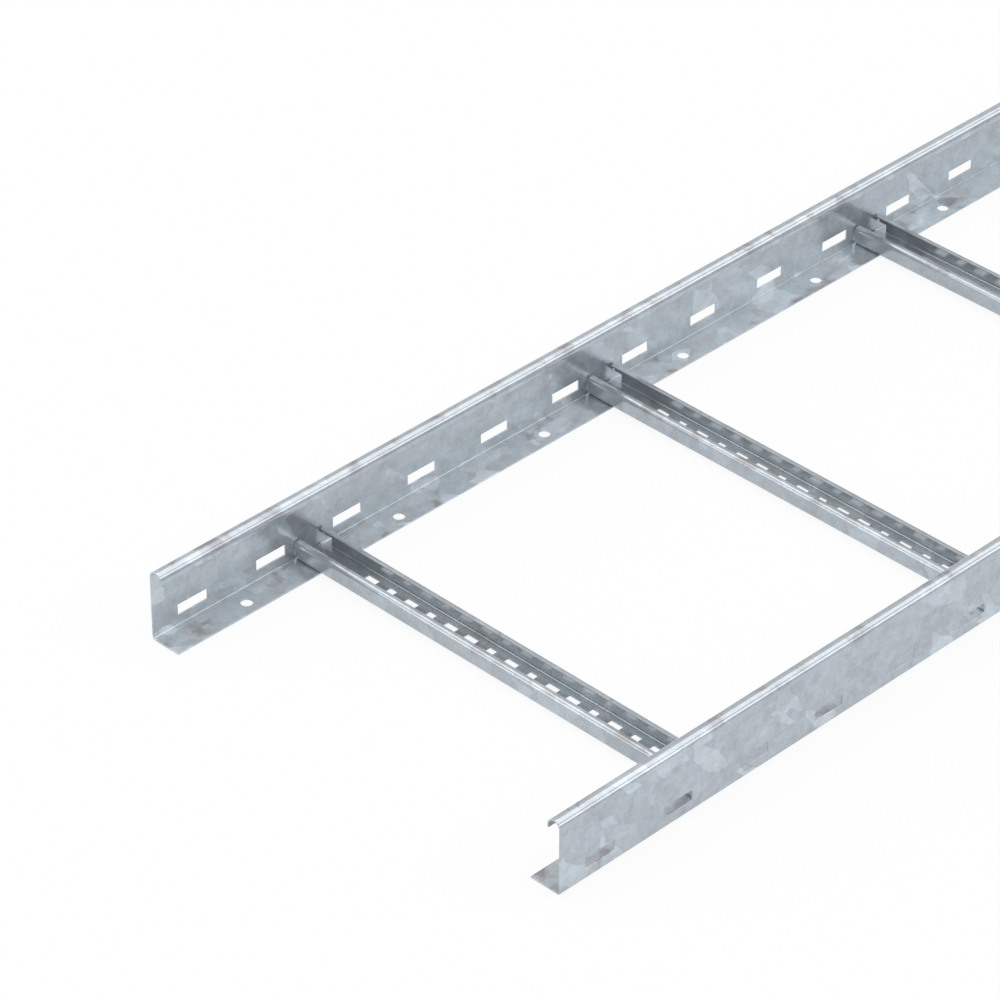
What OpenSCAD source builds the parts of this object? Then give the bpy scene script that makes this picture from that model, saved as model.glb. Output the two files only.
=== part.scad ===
// Cable ladder section.
// Two roll-formed sheet steel side rails stand on their inward flanges.
// Ten C-section rungs, open upward, lie across the flanges between the rail webs.
// Millimetres, +Z up, rails along X. The origin is the middle of the footprint on the floor.

/* [Ladder] */
// Spacing of the ten rungs along the rails, with half of it past each outer rung
rung_pitch = 300; // [200:25:400]
// Width over the outer faces of the two side rails
ladder_w = 400; // [200:10:600]
// Thickness of the rail sheet
rail_t = 1.2; // [1:0.1:2]

/* [Side rail] */
// Height of the side rail
rail_h = 60; // [45:1:110]
// Width of the bottom flange, from the outer face of the web
flange_w = 27; // [22:1:40]
// Outside radius of the fold between web and flange
fold_r = 2.4; // [1.8:0.1:4]
// Outside radius of the curled bead along the top
bead_r = 6; // [4:0.5:9]
// Distance from the top of the bead down to the edge of its lip
lip_drop = 8.5; // [7:0.5:14]

/* [Side rail openings] */
// Length of a web slot along the rail
web_slot_l = 28; // [15:1:40]
// Height of a web slot
web_slot_h = 9; // [5:0.5:14]
// Height of the middle of the web slots above the floor
web_slot_z = 13.5; // [11:0.5:30]
// Web slots in one rung spacing
slots_per_bay = 4; // [2:1:4]
// Diameter of the flange holes
flange_hole_d = 9; // [5:0.5:13]
// Distance of the flange holes from the outer face of the web
flange_hole_in = 16; // [10:0.5:22]
// Flange holes in one rung spacing
holes_per_bay = 2; // [1:1:4]

/* [Rung] */
// Width of the rung along the rails
rung_w = 30; // [24:1:45]
// Height of the rung
rung_h = 15; // [11:1:30]
// Thickness of the rung sheet
rung_t = 1.2; // [1:0.1:2]
// Outside radius of the two upper corners of the rung
rung_top_r = 3.5; // [2.5:0.1:5]
// Outside radius of the two lower corners of the rung
rung_bottom_r = 3; // [1.8:0.1:3.5]
// Reach of each upper lip from the outer face of the rung wall
rung_lip_w = 5.3; // [5:0.1:10]
// Least clearance between each end of a rung and the rail web, more where the fold is wider
rung_end_gap = 0.3; // [0.1:0.1:1]
// Length of the drain notch low in the +X wall at each end of a rung
notch_l = 7.5; // [4:0.5:12]
// Height of the drain notch above the underside of the rung
notch_h = 8; // [4:0.5:9]

/* [Rung openings] */
// Spacing of the slots along the rung
rung_slot_pitch = 20; // [16:1:40]
// Length of a long slot along the rung
long_slot_l = 11.5; // [6:0.5:14]
// Length of a short slot along the rung
short_slot_l = 7.5; // [4:0.5:12]
// Width of the rung slots across the rung
rung_slot_w = 17; // [6:0.5:18]
// Least distance from the rail flange to the middle of the last slot
rung_slot_margin = 30; // [15:1:60]

/* [Hidden] */
$fn = 96;
rung_count = 10;
ladder_len = rung_count * rung_pitch;
slot_step = rung_pitch / slots_per_bay;
hole_step = rung_pitch / holes_per_bay;
slot_count = rung_count * slots_per_bay;
hole_count = rung_count * holes_per_bay;
half_len = ladder_len / 2;
half_w = ladder_w / 2;
rung_len = ladder_w - 2 * max(fold_r, rail_t + rung_end_gap);
slots_each_side = floor((half_w - flange_w - rung_slot_margin) / rung_slot_pitch + 0.0001);
short_places = [1, 4, 6];
cut = 5;
zinc = [0.69, 0.72, 0.75];
zinc_rung = [0.64, 0.67, 0.70];

// Quarter of a ring in the upper right quadrant, from the centre of the bend.
module bend(r, t) {
    intersection() {
        difference() {
            circle(r = r);
            circle(r = r - t);
        }
        square([r, r]);
    }
}

// Section of the side rail: distance in from the outer face to the right, height up.
module rail_section() {
    translate([fold_r, 0])
        square([flange_w - fold_r, rail_t]);
    translate([fold_r, fold_r])
        rotate(180)
            bend(fold_r, rail_t);
    translate([0, fold_r])
        square([rail_t, rail_h - bead_r - fold_r]);
    translate([bead_r, rail_h - bead_r])
        rotate(90)
            bend(bead_r, rail_t);
    translate([bead_r, rail_h - bead_r])
        bend(bead_r, rail_t);
    translate([2 * bead_r - rail_t, rail_h - lip_drop])
        square([rail_t, lip_drop - bead_r]);
}

// One rail with its outer face on the plane y = 0 and its flange towards +y.
module rail() {
    difference() {
        translate([-half_len, 0, 0])
            rotate([90, 0, 90])
                linear_extrude(height = ladder_len)
                    rail_section();
        for (i = [0 : slot_count - 1])
            translate([-half_len + (i + 0.5) * slot_step - web_slot_l / 2, -cut, web_slot_z - web_slot_h / 2])
                cube([web_slot_l, rail_t + 2 * cut, web_slot_h]);
        for (i = [0 : hole_count - 1])
            translate([-half_len + (i + 0.5) * hole_step, flange_hole_in, -cut])
                cylinder(d = flange_hole_d, h = rail_t + 2 * cut);
    }
}

// Right half of the rung section: distance from the middle to the right, height up.
module rung_half_section() {
    square([rung_w / 2 - rung_bottom_r, rung_t]);
    translate([rung_w / 2 - rung_bottom_r, rung_bottom_r])
        rotate(270)
            bend(rung_bottom_r, rung_t);
    translate([rung_w / 2 - rung_t, rung_bottom_r])
        square([rung_t, rung_h - rung_top_r - rung_bottom_r]);
    translate([rung_w / 2 - rung_top_r, rung_h - rung_top_r])
        bend(rung_top_r, rung_t);
    translate([rung_w / 2 - rung_lip_w, rung_h - rung_t])
        square([rung_lip_w - rung_top_r, rung_t]);
}

// One rung across the ladder, centred on the middle of its base.
module rung_blank() {
    translate([0, rung_len / 2, 0])
        rotate([90, 0, 0])
            linear_extrude(height = rung_len) {
                rung_half_section();
                mirror([1, 0])
                    rung_half_section();
            }
}

// Cutter for the drain notches, which take the lower bend of the +X wall away at both ends.
module notch_cutters() {
    for (end = [0, 1])
        mirror([0, end, 0])
            translate([rung_w / 2 - rung_bottom_r, rung_len / 2 - notch_l, -cut])
                cube([rung_bottom_r + cut, notch_l + cut, notch_h + cut]);
}

// True where the slot at this place from the middle is a short one.
function is_short(place) = len([for (p = short_places) if (p == abs(place)) p]) > 0;

// One rung lying on the rail flanges, number counted from the -X end.
module rung(number) {
    translate([-half_len + (number - 0.5) * rung_pitch, 0, rail_t])
        difference() {
            rung_blank();
            notch_cutters();
            for (place = [-slots_each_side : slots_each_side]) {
                slot_l = is_short(place) ? short_slot_l : long_slot_l;
                translate([-rung_slot_w / 2, place * rung_slot_pitch - slot_l / 2, -cut])
                    cube([rung_slot_w, slot_l, rung_t + 2 * cut]);
            }
        }
}

// Rail on the +Y side.
module left_side_rail() {
    color(zinc)
        translate([0, half_w, 0])
            mirror([0, 1, 0])
                rail();
}

// Rail on the -Y side.
module right_side_rail() {
    color(zinc)
        translate([0, -half_w, 0])
            rail();
}

module rung_01() {
    color(zinc_rung)
        rung(1);
}

module rung_02() {
    color(zinc_rung)
        rung(2);
}

module rung_03() {
    color(zinc_rung)
        rung(3);
}

module rung_04() {
    color(zinc_rung)
        rung(4);
}

module rung_05() {
    color(zinc_rung)
        rung(5);
}

module rung_06() {
    color(zinc_rung)
        rung(6);
}

module rung_07() {
    color(zinc_rung)
        rung(7);
}

module rung_08() {
    color(zinc_rung)
        rung(8);
}

module rung_09() {
    color(zinc_rung)
        rung(9);
}

module rung_10() {
    color(zinc_rung)
        rung(10);
}

left_side_rail();
right_side_rail();
rung_01();
rung_02();
rung_03();
rung_04();
rung_05();
rung_06();
rung_07();
rung_08();
rung_09();
rung_10();
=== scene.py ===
import math

import bpy
import numpy as np
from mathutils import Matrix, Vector


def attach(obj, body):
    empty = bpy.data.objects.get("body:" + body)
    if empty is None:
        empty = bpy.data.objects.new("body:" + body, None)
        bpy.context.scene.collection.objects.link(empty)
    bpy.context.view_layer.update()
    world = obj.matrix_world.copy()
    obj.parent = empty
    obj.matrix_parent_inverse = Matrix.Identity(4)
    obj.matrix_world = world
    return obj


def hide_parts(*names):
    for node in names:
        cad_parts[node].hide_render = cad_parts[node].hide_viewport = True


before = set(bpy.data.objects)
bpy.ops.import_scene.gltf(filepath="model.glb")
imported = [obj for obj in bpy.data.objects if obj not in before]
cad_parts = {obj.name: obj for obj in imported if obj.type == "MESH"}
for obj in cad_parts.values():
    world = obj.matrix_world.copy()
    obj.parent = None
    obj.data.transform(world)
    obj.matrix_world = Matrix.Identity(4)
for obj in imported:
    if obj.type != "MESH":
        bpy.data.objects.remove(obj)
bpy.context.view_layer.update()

print("frame loaded:", len(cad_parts), "nodes")


# Camera: the photograph's own viewing angle, solved from its edges.
camera = {
    "place": (-3.35467, -1.99914, 2.12639),
    "azimuth": -45.0,
    "elevation": 35.005,
    "lens": 183.21,
    "sensor": 36.0,
    "clip": (0.05, 200.0),
}


def makeCamera(settings):
    data = bpy.data.cameras.new("photoCamera")
    data.lens = settings["lens"]
    data.sensor_width = settings["sensor"]
    data.clip_start, data.clip_end = settings["clip"]
    obj = bpy.data.objects.new("photoCamera", data)
    bpy.context.scene.collection.objects.link(obj)
    a = math.radians(settings["azimuth"])
    e = math.radians(settings["elevation"])
    back = Vector((math.sin(a) * math.cos(e), -math.cos(a) * math.cos(e), math.sin(e)))
    obj.location = settings["place"]
    obj.rotation_mode = "QUATERNION"
    obj.rotation_quaternion = (-back).to_track_quat("-Z", "Y")
    bpy.context.scene.camera = obj


makeCamera(camera)
print("camera placed")


# Small helpers for node trees.
def addNode(tree, kind, inputs=None, **values):
    node = tree.nodes.new(kind)
    for key, value in values.items():
        setattr(node, key, value)
    for key, value in (inputs or {}).items():
        if isinstance(value, bpy.types.NodeSocket):
            tree.links.new(value, node.inputs[key])
        else:
            node.inputs[key].default_value = value
    return node


def maths(tree, operation, *values):
    return addNode(tree, "ShaderNodeMath", dict(enumerate(values)), operation=operation).outputs[0]


def vectorMaths(tree, operation, *values):
    return addNode(tree, "ShaderNodeVectorMath", dict(enumerate(values)), operation=operation).outputs[0]


def scaled(tree, vector, factor):
    return addNode(tree, "ShaderNodeVectorMath", {0: vector, "Scale": factor}, operation="SCALE").outputs[0]


# one range of values carried over to another, and held at its ends
def mapped(tree, value, source, target, curve="LINEAR"):
    return addNode(
        tree, "ShaderNodeMapRange",
        {"Value": value, "From Min": source[0], "From Max": source[1],
         "To Min": target[0], "To Max": target[1]},
        interpolation_type=curve,
    ).outputs["Result"]


# mix of two colours: 0 gives the first, 1 the second
def mixed(tree, share, first, second):
    return addNode(tree, "ShaderNodeMix", {0: share, 6: first, 7: second}, data_type="RGBA").outputs[2]


def freshMaterial(name):
    material = bpy.data.materials.new(name)
    material.use_nodes = True
    material.node_tree.nodes.clear()
    return material, material.node_tree


# Zinc coated sheet. Long leaning crystals, a few of them pale, soft blotches, small flakes, fine
# strokes that turn from crystal to crystal, a fine grain, painted light or shade on faces that face up, and
# sparse darker stains last.
# Sizes and reaches are in metres. Each Noise is a size, a detail and a roughness. Each Tone is a
# share of the grey.
railZinc = {
    "grey": (0.541, 0.580, 0.604),
    "metallic": 0.66,
    "roughness": (0.20, 0.26),
    "crystalSize": 0.0135,
    "crystalTone": 0.07,
    "crystalLean": 48.0,
    "crystalStretch": (1.0, 1.0, 0.45),
    "swayNoise": (0.018, 1.0, 0.50),
    "swayReach": 0.012,
    "paleTone": 0.20,
    "paleFrom": (0.76, 0.80),
    "paleSpread": (0.8, 0.6),
    "paleShare": 0.22,
    "flakeSize": 0.0050,
    "flakeTone": 0.09,
    "pushNoise": (0.012, 3.0, 0.60),
    "pushReach": 0.016,
    "blotchNoise": (0.011, 4.0, 0.62),
    "blotchTone": 0.24,
    "blotchRange": (0.3, 0.7),
    "strokeNoise": (0.0026, 3.0, 0.6),
    "strokeTone": 0.13,
    "strokeTurn": 6.283,
    "strokeAxis": (0.577, 0.577, 0.577),
    "strokeStretch": (1.0, 0.14, 1.0),
    "grainNoise": (0.0012, 2.0, 0.5),
    "grainTone": 0.04,
    "hueNoise": (0.014, 2.0, 0.5),
    "hueShift": (0.030, 0.000, -0.022),
    "stainNoise": (0.026, 3.0, 0.55),
    "stainFrom": (0.54, 0.70),
    "stainGrey": (0.300, 0.282, 0.285),
    "stainDepth": (0.22, 0.75),
    # painted light: faces that face up get this share of the grey added, so the rail flanges read lighter
    "paintedTopFrom": (0.9, 1.0),
    "paintedTopLight": 0.07,
    "beadFrom": (0.051, 0.055),
    "beadCalm": 0.40,
    "beadPolish": 0.30,
}
# on the rungs the share is negative: painted shade on their upward faces, the lips and the base
rungZinc = dict(
    railZinc, grey=(0.497, 0.533, 0.555), metallic=0.64, roughness=(0.16, 0.23), crystalTone=0.05,
    paleTone=0.12, flakeTone=0.05, strokeTone=0.08, grainTone=0.03, paintedTopLight=-0.06,
)


def zincMaterial(name, look):
    material, tree = freshMaterial(name)
    coordinates = addNode(tree, "ShaderNodeTexCoord").outputs
    place = coordinates["Object"]

    def noise(where, size, detail, roughness):
        return addNode(
            tree, "ShaderNodeTexNoise",
            {"Vector": where, "Scale": 1.0 / size, "Detail": detail, "Roughness": roughness},
        ).outputs

    def warped(settings, reach):
        offset = vectorMaths(tree, "SUBTRACT", noise(place, *settings)["Color"], (0.5, 0.5, 0.5))
        return vectorMaths(tree, "MULTIPLY_ADD", offset, (reach, reach, reach), place)

    def crystals(where, size):
        cells = addNode(tree, "ShaderNodeTexVoronoi", {"Vector": where, "Scale": 1.0 / size})
        return addNode(tree, "ShaderNodeSeparateColor", {"Color": cells.outputs["Color"]}).outputs

    # a value from 0 to 1 becomes a change of tone up and down
    def term(value, gain):
        return maths(tree, "MULTIPLY_ADD", value, gain, -0.5 * gain)

    # crystals lean at 42 degrees and are 2.2 times as long as wide, with wandering borders
    leaning = addNode(
        tree, "ShaderNodeVectorRotate",
        {"Vector": warped(look["swayNoise"], look["swayReach"]), "Angle": math.radians(look["crystalLean"])},
        rotation_type="Y_AXIS",
    ).outputs[0]
    large = crystals(vectorMaths(tree, "MULTIPLY", leaning, look["crystalStretch"]), look["crystalSize"])
    pushed = warped(look["pushNoise"], look["pushReach"])
    flakes = crystals(pushed, look["flakeSize"])
    blotches = noise(pushed, *look["blotchNoise"])["Fac"]
    grain = noise(place, *look["grainNoise"])["Fac"]
    turned = addNode(
        tree, "ShaderNodeVectorRotate",
        {"Vector": place, "Axis": look["strokeAxis"],
         "Angle": maths(tree, "MULTIPLY", large["Green"], look["strokeTurn"])},
    ).outputs[0]
    strokes = noise(vectorMaths(tree, "MULTIPLY", turned, look["strokeStretch"]), *look["strokeNoise"])["Fac"]
    pale = maths(
        tree, "MULTIPLY", mapped(tree, large["Red"], look["paleFrom"], (0.0, look["paleTone"]), "SMOOTHSTEP"),
        maths(tree, "MULTIPLY_ADD", large["Green"], *look["paleSpread"]),
    )

    # the drawn bead at the top of the rails is calmer and smoother than the flat sheet
    height = addNode(tree, "ShaderNodeSeparateXYZ", {"Vector": place}).outputs["Z"]
    facing = addNode(tree, "ShaderNodeSeparateXYZ", {"Vector": coordinates["Normal"]}).outputs["Z"]
    bead = mapped(tree, height, look["beadFrom"], (0.0, 1.0), "SMOOTHSTEP")

    def lessOnBead(amount):
        return maths(tree, "MULTIPLY_ADD", bead, -amount, 1.0)

    # painted light and shade: faces that face up, but not the bead, are made lighter or darker by a fixed
    # share of the grey
    level = mapped(tree, facing, look["paintedTopFrom"], (0.0, look["paintedTopLight"]), "SMOOTHSTEP")
    flat = maths(tree, "MULTIPLY", level, lessOnBead(1.0))

    tone = -look["paleShare"] * look["paleTone"]
    for part in (
        pale,
        term(large["Blue"], look["crystalTone"]),
        term(flakes["Red"], look["flakeTone"]),
        term(strokes, 2.0 * look["strokeTone"]),
        term(blotches, 2.0 * look["blotchTone"]),
        term(grain, 2.0 * look["grainTone"]),
    ):
        tone = maths(tree, "ADD", part, tone)
    tone = maths(tree, "MULTIPLY_ADD", tone, lessOnBead(look["beadCalm"]), 1.0)
    tone = maths(tree, "ADD", tone, flat)
    warmed = scaled(tree, look["hueShift"], term(noise(pushed, *look["hueNoise"])["Fac"], 2.0))
    shaded = scaled(tree, vectorMaths(tree, "ADD", warmed, look["grey"]), tone)

    # stains gather on faces that lie flat
    depth = mapped(tree, facing, (0.0, 1.0), look["stainDepth"])
    stain = noise(pushed, *look["stainNoise"])["Fac"]
    stained = maths(tree, "MULTIPLY", mapped(tree, stain, look["stainFrom"], (0.0, 1.0), "SMOOTHSTEP"), depth)
    colour = mixed(tree, stained, shaded, (*look["stainGrey"], 1.0))
    rough = mapped(tree, blotches, look["blotchRange"], look["roughness"])
    polished = maths(tree, "MULTIPLY", rough, lessOnBead(look["beadPolish"]))
    shader = addNode(
        tree, "ShaderNodeBsdfPrincipled",
        {"Base Color": colour, "Metallic": look["metallic"], "Roughness": polished},
    )
    addNode(tree, "ShaderNodeOutputMaterial", {"Surface": shader.outputs[0]})
    return material


# The cut edges of the rungs are duller and paler than the rolled faces.
edgeZinc = {
    "grey": (0.490, 0.510, 0.520),
    "metallic": 0.25,
    "roughness": 0.45,
    "grainSize": 0.0008,
    "grainTone": 0.25,
}


def edgeMaterial(name, look):
    material, tree = freshMaterial(name)
    place = addNode(tree, "ShaderNodeTexCoord").outputs["Object"]
    grain = addNode(tree, "ShaderNodeTexNoise", {"Vector": place, "Scale": 1.0 / look["grainSize"]})
    span = (1.0 - look["grainTone"], 1.0 + look["grainTone"])
    tone = mapped(tree, grain.outputs["Fac"], (0.0, 1.0), span)
    shader = addNode(
        tree, "ShaderNodeBsdfPrincipled",
        {"Base Color": scaled(tree, look["grey"], tone), "Metallic": look["metallic"],
         "Roughness": look["roughness"]},
    )
    addNode(tree, "ShaderNodeOutputMaterial", {"Surface": shader.outputs[0]})
    return material


railMaterial = zincMaterial("railZinc", railZinc)
rungMaterial = zincMaterial("rungZinc", rungZinc)
cutMaterial = edgeMaterial("cutZinc", edgeZinc)
print("zinc finishes made")


# Folded sheets. A section's middle line, walked from edge to edge, is carried along straight
# stations, the cells of slots are left out, and Solidify and Bevel give the sheet its body.
sheet = {
    "thickness": 0.0012,
    "edgeRound": 0.00016,
    "edgeSegments": 2,
    "edgeAngle": 50.0,
}
railSizes = {
    "length": 3.0,
    "width": 0.4,
    "height": 0.060,
    "flange": 0.027,
    "fold": 0.0024,
    "bead": 0.006,
    "lipDrop": 0.0085,
    "slotStep": 0.075,
    "slotLength": 0.028,
    "slotHeight": 0.009,
    "slotMiddle": 0.0135,
    "holeStep": 0.150,
    "holeRadius": 0.0045,
    "holeInset": 0.016,
    "holeFrame": 0.007,
    "foldSteps": 9,
    "beadSteps": 40,
    "holeSteps": 10,
}
rungSizes = {
    "count": 10,
    "pitch": 0.3,
    "length": 0.3952,
    "width": 0.030,
    "height": 0.015,
    "topRadius": 0.0035,
    "bottomRadius": 0.003,
    "lip": 0.0053,
    "slotPitch": 0.020,
    "slotLong": 0.0115,
    "slotShort": 0.0075,
    "slotWidth": 0.017,
    "shortPlaces": (1, 4, 6),
    "slotsEachSide": 7,
    "notchLength": 0.0075,
    "notchHeight": 0.008,
    "topSteps": 14,
    "bottomSteps": 10,
}


# points on a circle: the centre plus radius times (cos, sin) of even steps between two angles
def arc(centre, radius, start, end, steps):
    a = np.radians(np.linspace(start, end, steps + 1))
    return np.column_stack([centre[0] + radius * np.cos(a), centre[1] + radius * np.sin(a)])


# middles of equal steps over a length that is centred on zero
def evenSteps(length, step):
    return -length / 2 + step * (np.arange(round(length / step)) + 0.5)


# sorted stations along the sheet, each once, and the middles between them
def stationList(*parts):
    stations = np.unique(np.round(np.concatenate(parts), 6))
    return stations, (stations[:-1] + stations[1:]) / 2


# grid cells as corner numbers, walking along the section first, then along the stations
def gridCells(rows, columns, keep):
    number = np.arange(rows * columns).reshape(rows, columns)
    cells = np.stack([number[:-1, :-1], number[1:, :-1], number[1:, 1:], number[:-1, 1:]], axis=-1)
    return number, cells[keep]


# a sheet from its middle surface; the last of the materials goes to the cut edges
def sheetPiece(name, points, faces, materials, node):
    mesh = bpy.data.meshes.new(name)
    mesh.from_pydata(points.tolist(), [], faces)
    for material in materials:
        mesh.materials.append(material)
    mesh.polygons.foreach_set("use_smooth", [True] * len(mesh.polygons))
    obj = bpy.data.objects.new(name, mesh)
    bpy.context.scene.collection.objects.link(obj)
    solid = obj.modifiers.new("thickness", "SOLIDIFY")
    solid.thickness = sheet["thickness"]
    solid.offset = 0.0
    solid.use_even_offset = True
    solid.material_offset_rim = len(materials) - 1
    bevel = obj.modifiers.new("edges", "BEVEL")
    bevel.width = sheet["edgeRound"]
    bevel.segments = sheet["edgeSegments"]
    bevel.limit_method = "ANGLE"
    bevel.angle_limit = math.radians(sheet["edgeAngle"])
    bevel.harden_normals = True
    obj.modifiers.new("normals", "WEIGHTED_NORMAL").keep_sharp = True
    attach(obj, "root")
    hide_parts(node)


# Side rail. Section: distance in from the outer face and height, from the flange edge round the
# fold, up the web, over the bead and down its lip. side is 1 for the +Y rail and -1 for the other.
def makeRail(name, node, side, s):
    half = sheet["thickness"] / 2
    inset, frameHalf = s["holeInset"], s["holeFrame"]
    beadLevel = s["height"] - s["bead"]
    lowSlot = s["slotMiddle"] - s["slotHeight"] / 2
    highSlot = s["slotMiddle"] + s["slotHeight"] / 2
    section = np.vstack([
        [[s["flange"], half], [inset + frameHalf, half], [inset - frameHalf, half]],
        arc((s["fold"], s["fold"]), s["fold"] - half, 270.0, 180.0, s["foldSteps"]),
        [[half, lowSlot], [half, highSlot]],
        arc((s["bead"], beadLevel), s["bead"] - half, 180.0, 0.0, s["beadSteps"]),
        [[2 * s["bead"] - half, s["height"] - s["lipDrop"]]],
    ])
    # rows of the section: flange, holes, flange, the fold, a strip of web, then the web slots
    holeRow, slotRow = 1, s["foldSteps"] + 4
    slots = evenSteps(s["length"], s["slotStep"])
    holes = evenSteps(s["length"], s["holeStep"])
    stations, middles = stationList(
        [-s["length"] / 2, s["length"] / 2],
        slots - s["slotLength"] / 2, slots + s["slotLength"] / 2,
        holes - frameHalf, holes + frameHalf,
    )
    inSlot = np.abs(middles[:, None] - slots).min(axis=1) < s["slotLength"] / 2
    inHole = np.abs(middles[:, None] - holes).min(axis=1) < frameHalf
    keep = np.ones((len(section) - 1, len(middles)), dtype=bool)
    keep[slotRow, inSlot] = False
    keep[holeRow, inHole] = False
    number, cells = gridCells(len(section), len(stations), keep)
    faces = cells.tolist()

    # each round hole: a ring of points in its cell, from the first corner on, a quarter turn for
    # each of the four faces that join it to the corners
    steps = s["holeSteps"]
    turn = np.radians(225.0 + 90.0 / steps * np.arange(4 * steps))
    ringIn = inset - s["holeRadius"] * np.cos(turn)
    ringAlong = s["holeRadius"] * np.sin(turn)
    rings = []
    first = number.size
    for k, column in enumerate(np.flatnonzero(inHole)):
        centre = holes[k]
        rings.append(np.column_stack([ringIn, centre + ringAlong, np.full(4 * steps, half)]))
        corners = [
            number[holeRow, column], number[holeRow + 1, column],
            number[holeRow + 1, column + 1], number[holeRow, column + 1],
        ]
        ring = first + 4 * steps * k + np.append(np.arange(4 * steps), 0)
        for q in range(4):
            bow = ring[q * steps:(q + 1) * steps + 1][::-1]
            faces.append([int(corners[q]), int(corners[(q + 1) % 4]), *bow.tolist()])
    inward, along = np.meshgrid(section[:, 0], stations, indexing="ij")
    height = np.repeat(section[:, 1], len(stations))
    flat = np.vstack([np.column_stack([inward.ravel(), along.ravel(), height]), *rings])
    points = np.column_stack([flat[:, 1], side * (s["width"] / 2 - flat[:, 0]), flat[:, 2]])
    sheetPiece(name, points, faces, [railMaterial], node)


# Rung. Section: distance from its middle and height over the rail flange, from one lip edge down
# the -X wall, along the base and up the +X wall, whose lower bend is cut away at both ends.
def makeRung(name, node, middle, s):
    half = sheet["thickness"] / 2
    edge = s["width"] / 2
    top, low = s["topRadius"], s["bottomRadius"]
    leftSide = np.vstack([
        [[-(edge - s["lip"]), s["height"] - half]],
        arc((-(edge - top), s["height"] - top), top - half, 90.0, 180.0, s["topSteps"]),
        [[-(edge - half), s["notchHeight"]]],
        arc((-(edge - low), low), low - half, 180.0, 270.0, s["bottomSteps"]),
        [[-s["slotWidth"] / 2, half]],
    ])
    section = np.vstack([leftSide, leftSide[::-1] * [-1.0, 1.0]])
    places = np.arange(-s["slotsEachSide"], s["slotsEachSide"] + 1)
    lengths = np.where(np.isin(np.abs(places), s["shortPlaces"]), s["slotShort"], s["slotLong"])
    centres = places * s["slotPitch"]
    notch = s["length"] / 2 - s["notchLength"]
    stations, middles = stationList(
        [-s["length"] / 2, -notch, notch, s["length"] / 2],
        centres - lengths / 2, centres + lengths / 2,
    )
    inSlot = (np.abs(middles[:, None] - centres) < lengths / 2).any(axis=1)
    atEnd = np.abs(middles) > notch
    keep = np.ones((len(section) - 1, len(middles)), dtype=bool)
    slotRow, notchRow = len(leftSide) - 1, len(leftSide) + 1
    keep[slotRow, inSlot] = False
    keep[notchRow:notchRow + s["bottomSteps"] + 1, atEnd] = False
    faces = gridCells(len(section), len(stations), keep)[1].tolist()
    across, along = np.meshgrid(section[:, 0], stations, indexing="ij")
    height = sheet["thickness"] + np.repeat(section[:, 1], len(stations))
    points = np.column_stack([middle + across.ravel(), along.ravel(), height])
    sheetPiece(name, points, faces, [rungMaterial, cutMaterial], node)


makeRail("leftRailSheet", "left_side_rail", 1.0, railSizes)
makeRail("rightRailSheet", "right_side_rail", -1.0, railSizes)
print("side rails made")
for k in range(rungSizes["count"]):
    middle = rungSizes["pitch"] * (k + 0.5 - rungSizes["count"] / 2)
    makeRung("rungSheet%02d" % (k + 1), "rung_%02d" % (k + 1), middle, rungSizes)
print("rungs made")


# Floor and soft light: a wide box overhead and a long low one on each side of the camera.
# A lamp's light adds to the world's behind it.
studio = {
    "floorSize": 120.0,
    "floorLevel": -0.0002,
    "floorGrey": 0.80,
    "floorGlow": 0.90,
    "floorMirror": (0.828, 0.866, 0.915),
    "tint": (0.985, 1.000, 1.030),
    "world": 0.55,
    "boxDistance": 10.0,
}
# azimuth and elevation of the middle, width, height and radiance of each lamp
boxes = {
    "rightFill": (-45.0, 28.5, 9.0, 3.7, 0.70),
    "rightCore": (-45.0, 30.0, 9.0, 2.1, 0.93),
    "leftFill": (135.0, 22.0, 9.0, 6.3, 0.66),
    "leftCore": (135.0, 14.0, 9.0, 2.5, 1.15),
    "backFill": (45.0, 37.0, 9.0, 2.4, 0.15),
    "cornerStrip": (110.0, 51.0, 5.0, 2.2, 0.50),
}
topBox = {
    "height": 7.0,
    "toCamera": 0.90,
    "width": 12.9,
    "depth": 11.3,
    "radiance": 1.14,
    "turn": -45.0,
}


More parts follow.
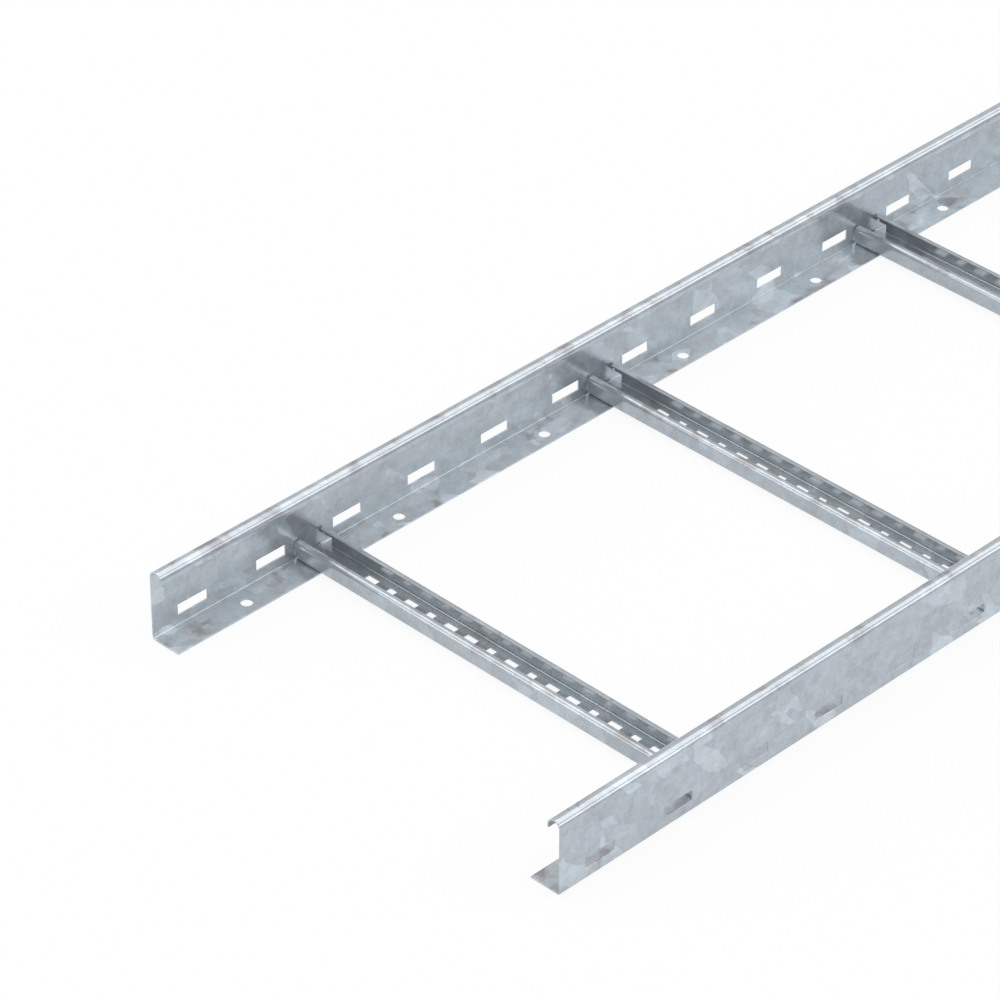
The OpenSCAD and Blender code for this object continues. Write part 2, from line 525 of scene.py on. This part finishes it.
# The camera sees a white floor and mirror images see a slightly darker one. All other rays find a
# plain grey one.
def makeFloor(settings):
    half = settings["floorSize"] / 2
    mesh = bpy.data.meshes.new("floor")
    corners = [(-half, -half, 0), (half, -half, 0), (half, half, 0), (-half, half, 0)]
    mesh.from_pydata(corners, [], [(0, 1, 2, 3)])
    obj = bpy.data.objects.new("floor", mesh)
    bpy.context.scene.collection.objects.link(obj)
    obj.location.z = settings["floorLevel"]
    material, tree = freshMaterial("floorWhite")
    path = addNode(tree, "ShaderNodeLightPath").outputs
    seen = path["Is Camera Ray"]
    for ray in ("Is Glossy Ray", "Is Transmission Ray"):
        seen = maths(tree, "MAXIMUM", seen, path[ray])
    share = maths(tree, "MULTIPLY", seen, settings["floorGlow"])
    grey = settings["floorGrey"]
    plain = addNode(tree, "ShaderNodeBsdfDiffuse", {"Color": (grey, grey, grey, 1.0)})
    white = mixed(tree, path["Is Camera Ray"], (*settings["floorMirror"], 1.0), (1.0, 1.0, 1.0, 1.0))
    glow = addNode(tree, "ShaderNodeEmission", {"Color": white, "Strength": 1.0})
    both = addNode(tree, "ShaderNodeMixShader", {0: share, 1: plain.outputs[0], 2: glow.outputs[0]})
    addNode(tree, "ShaderNodeOutputMaterial", {"Surface": both.outputs[0]})
    mesh.materials.append(material)


def makeWorld(settings):
    world = bpy.data.worlds.new("studioWorld")
    world.use_nodes = True
    tree = world.node_tree
    tree.nodes.clear()
    sky = addNode(
        tree, "ShaderNodeBackground", {"Color": (*settings["tint"], 1.0), "Strength": settings["world"]}
    )
    addNode(tree, "ShaderNodeOutputWorld", {"Surface": sky.outputs[0]})
    bpy.context.scene.world = world


# A lamp with a turn hangs level, the others face the middle of the ladder.
def softbox(name, place, width, height, radiance, turn=None):
    data = bpy.data.lights.new(name, "AREA")
    data.shape = "RECTANGLE"
    data.size = width
    data.size_y = height
    data.energy = radiance * math.pi * width * height
    data.color = studio["tint"]
    obj = bpy.data.objects.new(name, data)
    bpy.context.scene.collection.objects.link(obj)
    obj.location = place
    if turn is None:
        obj.rotation_mode = "QUATERNION"
        obj.rotation_quaternion = (-Vector(place)).to_track_quat("-Z", "Y")
    else:
        obj.rotation_euler = (0.0, 0.0, math.radians(turn))
    obj.visible_camera = False


makeFloor(studio)
makeWorld(studio)
shift = -topBox["toCamera"] * math.sqrt(0.5)
softbox("topBox", (shift, shift, topBox["height"]), topBox["width"], topBox["depth"],
        topBox["radiance"], topBox["turn"])
for name, (azimuth, elevation, width, height, radiance) in boxes.items():
    a = math.radians(azimuth)
    e = math.radians(elevation)
    d = studio["boxDistance"]
    place = (d * math.cos(e) * math.cos(a), d * math.cos(e) * math.sin(a), d * math.sin(e))
    softbox(name, place, width, height, radiance)
bpy.context.scene.view_settings.view_transform = "Standard"
print("floor and lights made")
